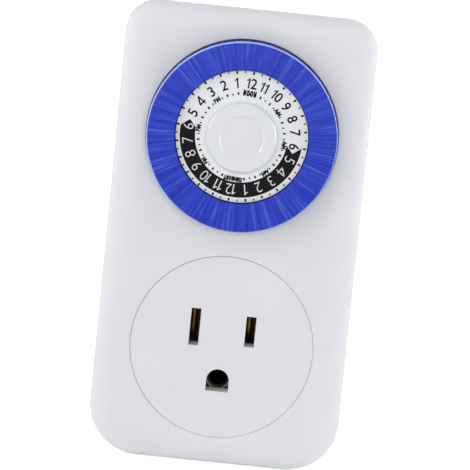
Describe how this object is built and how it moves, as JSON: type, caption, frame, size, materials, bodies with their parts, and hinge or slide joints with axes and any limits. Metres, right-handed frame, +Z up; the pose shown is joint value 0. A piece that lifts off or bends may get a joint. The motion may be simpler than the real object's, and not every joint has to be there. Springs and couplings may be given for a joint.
{
  "type": "plug-in timer switch",
  "caption": "Plug-in mechanical 24 hour timer with a push-pin dial above a grounded outlet and a wall plug behind.",
  "frame": {"origin": "midway between the two flat blades, on the rear face that meets the wall", "axes": "+Y into the wall along the blades, +Z up the wall, +X to the right seen from the front"},
  "size_m": [0.0574, 0.0619, 0.1046],
  "materials": {
    "white_abs": "fine satin moulding",
    "printed_disc": "printed, matt",
    "blue_abs": "semi-gloss moulding",
    "navy_abs": "matt moulding",
    "brass": "bright stamped",
    "bronze_leaf": "rolled strip",
    "zinc_steel": "zinc plated",
    "bright_steel": "ground",
    "plated_steel": "stamped and plated",
    "spring_steel": "drawn wire and strip",
    "enamelled_copper": "enamelled wire",
    "natural_nylon": "moulded",
    "acetal": "moulded",
    "ferrite": "ground ferrite",
    "red_wire": "insulated wire"
  },
  "bodies": {
    "housing": {"front_housing": "white_abs", "rear_housing": "white_abs", "housing_screws": "zinc_steel", "outlet_face": "white_abs", "neutral_blade": "brass", "line_blade": "brass", "ground_pin": "brass", "neutral_contact": "brass", "line_contact": "brass", "ground_contact": "brass", "ground_strap": "brass", "motor_can": "plated_steel", "stator_cover": "plated_steel", "coil_bobbin": "natural_nylon", "coil_winding": "enamelled_copper", "coil_leads": "red_wire", "gear_arbors": "bright_steel", "movement_plate": "natural_nylon", "movement_screws": "zinc_steel", "follower_pin": "bright_steel", "follower_spring": "spring_steel", "fixed_contact": "brass"},
    "rotor": {"rotor_magnet": "ferrite", "rotor_pinion": "bright_steel"},
    "first_gear": {"first_gear": "acetal"},
    "second_gear": {"second_gear": "acetal"},
    "third_gear": {"third_gear": "acetal"},
    "fourth_gear": {"fourth_gear": "acetal"},
    "fifth_gear": {"fifth_gear": "acetal"},
    "drive_wheel": {"drive_wheel": "acetal", "clutch_spring": "spring_steel"},
    "dial": {"pin_carrier": "navy_abs", "number_disc": "printed_disc", "hub_cap": "white_abs"},
    "follower": {"follower_lever": "acetal"},
    "contact_leaf": {"moving_contact": "bronze_leaf"},
    "pins_hour_00": {"pins_hour_00": "blue_abs"},
    "pins_hour_01": {"pins_hour_01": "blue_abs"},
    "pins_hour_02": {"pins_hour_02": "blue_abs"},
    "pins_hour_03": {"pins_hour_03": "blue_abs"},
    "pins_hour_04": {"pins_hour_04": "blue_abs"},
    "pins_hour_05": {"pins_hour_05": "blue_abs"},
    "pins_hour_06": {"pins_hour_06": "blue_abs"},
    "pins_hour_07": {"pins_hour_07": "blue_abs"},
    "pins_hour_08": {"pins_hour_08": "blue_abs"},
    "pins_hour_09": {"pins_hour_09": "blue_abs"},
    "pins_hour_10": {"pins_hour_10": "blue_abs"},
    "pins_hour_11": {"pins_hour_11": "blue_abs"},
    "pins_hour_12": {"pins_hour_12": "blue_abs"},
    "pins_hour_13": {"pins_hour_13": "blue_abs"},
    "pins_hour_14": {"pins_hour_14": "blue_abs"},
    "pins_hour_15": {"pins_hour_15": "blue_abs"},
    "pins_hour_16": {"pins_hour_16": "blue_abs"},
    "pins_hour_17": {"pins_hour_17": "blue_abs"},
    "pins_hour_18": {"pins_hour_18": "blue_abs"},
    "pins_hour_19": {"pins_hour_19": "blue_abs"},
    "pins_hour_20": {"pins_hour_20": "blue_abs"},
    "pins_hour_21": {"pins_hour_21": "blue_abs"},
    "pins_hour_22": {"pins_hour_22": "blue_abs"},
    "pins_hour_23": {"pins_hour_23": "blue_abs"}
  },
  "joints": [
    {"name": "rotor_spin", "type": "hinge", "parent": "housing", "child": "rotor", "pos_m": [-0.01086, 0, 0.03442], "axis": [0, -1, 0], "continuous": true},
    {"name": "first_gear_turn", "type": "hinge", "parent": "housing", "child": "first_gear", "pos_m": [-0.01396, 0, 0.04234], "axis": [0, -1, 0], "continuous": true},
    {"name": "second_gear_turn", "type": "hinge", "parent": "housing", "child": "second_gear", "pos_m": [-0.01078, 0, 0.05022], "axis": [0, -1, 0], "continuous": true},
    {"name": "third_gear_turn", "type": "hinge", "parent": "housing", "child": "third_gear", "pos_m": [-0.0035, 0, 0.05551], "axis": [0, -1, 0], "continuous": true},
    {"name": "fourth_gear_turn", "type": "hinge", "parent": "housing", "child": "fourth_gear", "pos_m": [0.0055, 0, 0.05547], "axis": [0, -1, 0], "continuous": true},
    {"name": "fifth_gear_turn", "type": "hinge", "parent": "housing", "child": "fifth_gear", "pos_m": [0.01496, 0, 0.05324], "axis": [0, -1, 0], "continuous": true},
    {"name": "drive_wheel_turn", "type": "hinge", "parent": "housing", "child": "drive_wheel", "pos_m": [0, 0, 0.0446], "axis": [0, -1, 0], "continuous": true},
    {"name": "dial_turn", "type": "hinge", "parent": "drive_wheel", "child": "dial", "pos_m": [0, 0, 0.0446], "axis": [0, -1, 0], "continuous": true},
    {"name": "pins_hour_00_press", "type": "slide", "parent": "dial", "child": "pins_hour_00", "axis": [0, 1, 0], "range_m": [0, 0.0025]},
    {"name": "pins_hour_01_press", "type": "slide", "parent": "dial", "child": "pins_hour_01", "axis": [0, 1, 0], "range_m": [0, 0.0025]},
    {"name": "pins_hour_02_press", "type": "slide", "parent": "dial", "child": "pins_hour_02", "axis": [0, 1, 0], "range_m": [0, 0.0025]},
    {"name": "pins_hour_03_press", "type": "slide", "parent": "dial", "child": "pins_hour_03", "axis": [0, 1, 0], "range_m": [0, 0.0025]},
    {"name": "pins_hour_04_press", "type": "slide", "parent": "dial", "child": "pins_hour_04", "axis": [0, 1, 0], "range_m": [0, 0.0025]},
    {"name": "pins_hour_05_press", "type": "slide", "parent": "dial", "child": "pins_hour_05", "axis": [0, 1, 0], "range_m": [0, 0.0025]},
    {"name": "pins_hour_06_press", "type": "slide", "parent": "dial", "child": "pins_hour_06", "axis": [0, 1, 0], "range_m": [0, 0.0025]},
    {"name": "pins_hour_07_press", "type": "slide", "parent": "dial", "child": "pins_hour_07", "axis": [0, 1, 0], "range_m": [0, 0.0025]},
    {"name": "pins_hour_08_press", "type": "slide", "parent": "dial", "child": "pins_hour_08", "axis": [0, 1, 0], "range_m": [0, 0.0025]},
    {"name": "pins_hour_09_press", "type": "slide", "parent": "dial", "child": "pins_hour_09", "axis": [0, 1, 0], "range_m": [0, 0.0025]},
    {"name": "pins_hour_10_press", "type": "slide", "parent": "dial", "child": "pins_hour_10", "axis": [0, 1, 0], "range_m": [0, 0.0025]},
    {"name": "pins_hour_11_press", "type": "slide", "parent": "dial", "child": "pins_hour_11", "axis": [0, 1, 0], "range_m": [0, 0.0025]},
    {"name": "pins_hour_12_press", "type": "slide", "parent": "dial", "child": "pins_hour_12", "axis": [0, 1, 0], "range_m": [0, 0.0025]},
    {"name": "pins_hour_13_press", "type": "slide", "parent": "dial", "child": "pins_hour_13", "axis": [0, 1, 0], "range_m": [0, 0.0025]},
    {"name": "pins_hour_14_press", "type": "slide", "parent": "dial", "child": "pins_hour_14", "axis": [0, 1, 0], "range_m": [0, 0.0025]},
    {"name": "pins_hour_15_press", "type": "slide", "parent": "dial", "child": "pins_hour_15", "axis": [0, 1, 0], "range_m": [0, 0.0025]},
    {"name": "pins_hour_16_press", "type": "slide", "parent": "dial", "child": "pins_hour_16", "axis": [0, 1, 0], "range_m": [0, 0.0025]},
    {"name": "pins_hour_17_press", "type": "slide", "parent": "dial", "child": "pins_hour_17", "axis": [0, 1, 0], "range_m": [0, 0.0025]},
    {"name": "pins_hour_18_press", "type": "slide", "parent": "dial", "child": "pins_hour_18", "axis": [0, 1, 0], "range_m": [0, 0.0025]},
    {"name": "pins_hour_19_press", "type": "slide", "parent": "dial", "child": "pins_hour_19", "axis": [0, 1, 0], "range_m": [0, 0.0025]},
    {"name": "pins_hour_20_press", "type": "slide", "parent": "dial", "child": "pins_hour_20", "axis": [0, 1, 0], "range_m": [0, 0.0025]},
    {"name": "pins_hour_21_press", "type": "slide", "parent": "dial", "child": "pins_hour_21", "axis": [0, 1, 0], "range_m": [0, 0.0025]},
    {"name": "pins_hour_22_press", "type": "slide", "parent": "dial", "child": "pins_hour_22", "axis": [0, 1, 0], "range_m": [0, 0.0025]},
    {"name": "pins_hour_23_press", "type": "slide", "parent": "dial", "child": "pins_hour_23", "axis": [0, 1, 0], "range_m": [0, 0.0025]},
    {"name": "follower_tilt", "type": "hinge", "parent": "housing", "child": "follower", "pos_m": [0.01387, -0.0224, 0.0205], "axis": [-1, 0, 0], "range_deg": [0, 14.2], "stiffness_Nm_per_rad": 0.01, "springref_deg": -8.59, "deforming": ["follower_spring"]},
    {"name": "contact_close", "type": "hinge", "parent": "housing", "child": "contact_leaf", "pos_m": [0.01387, -0.0243, 0.008], "axis": [1, 0, 0], "range_deg": [0, 8.4], "stiffness_Nm_per_rad": 0.004}
  ],
  "couplings": [
    {"joint": "first_gear_turn", "follows": "rotor_spin", "ratio": -0.13333},
    {"joint": "second_gear_turn", "follows": "rotor_spin", "ratio": 0.017778},
    {"joint": "third_gear_turn", "follows": "rotor_spin", "ratio": -0.0022222},
    {"joint": "fourth_gear_turn", "follows": "rotor_spin", "ratio": 0.00027778},
    {"joint": "fifth_gear_turn", "follows": "rotor_spin", "ratio": -0.000034722},
    {"joint": "drive_wheel_turn", "follows": "rotor_spin", "ratio": 0.0000023148},
    {"joint": "follower_tilt", "follows": "pins_hour_03_press", "rad_per_m": 97.7},
    {"joint": "contact_close", "follows": "pins_hour_03_press", "rad_per_m": 57.9}
  ]
}
